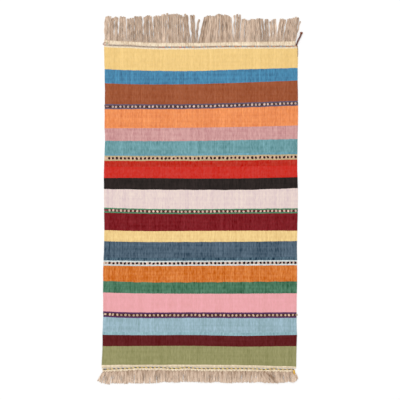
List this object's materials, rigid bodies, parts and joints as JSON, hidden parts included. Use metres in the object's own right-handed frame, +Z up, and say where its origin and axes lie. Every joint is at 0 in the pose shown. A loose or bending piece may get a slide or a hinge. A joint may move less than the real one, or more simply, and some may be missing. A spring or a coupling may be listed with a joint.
{
  "type": "kilim",
  "caption": "Striped flat-woven rug lying flat, with dotted bands, twined ends, a long looped fringe at one end and a short cut fringe at the other.",
  "frame": {"origin": "on the underside of the woven panel, about the middle of the rug, at floor level", "axes": "+Z up from the floor, +Y along the rug towards its long fringe, +X across it to the right as seen from above with the long fringe away"},
  "size_m": [1.0512, 1.9103, 0.0096],
  "materials": {
    "striped_wool": "matt hand-spun wool, weft-faced weave in many dyed stripes",
    "mixed_twining": "matt wool yarn, grey-brown with orange and blue turns",
    "yellow_navy_twining": "matt wool yarn, yellow and navy turns",
    "warp_yarn": "matt undyed beige warp yarn, plied",
    "brown_yarn": "matt dark brown plied yarn"
  },
  "bodies": {
    "root": {"cloth": "striped_wool", "twining_top": "mixed_twining", "twining_bottom": "yellow_navy_twining", "fringe_top": "warp_yarn", "fringe_bottom": "warp_yarn", "loose_end": "brown_yarn", "loose_end_knot": "brown_yarn"}
  },
  "joints": []
}
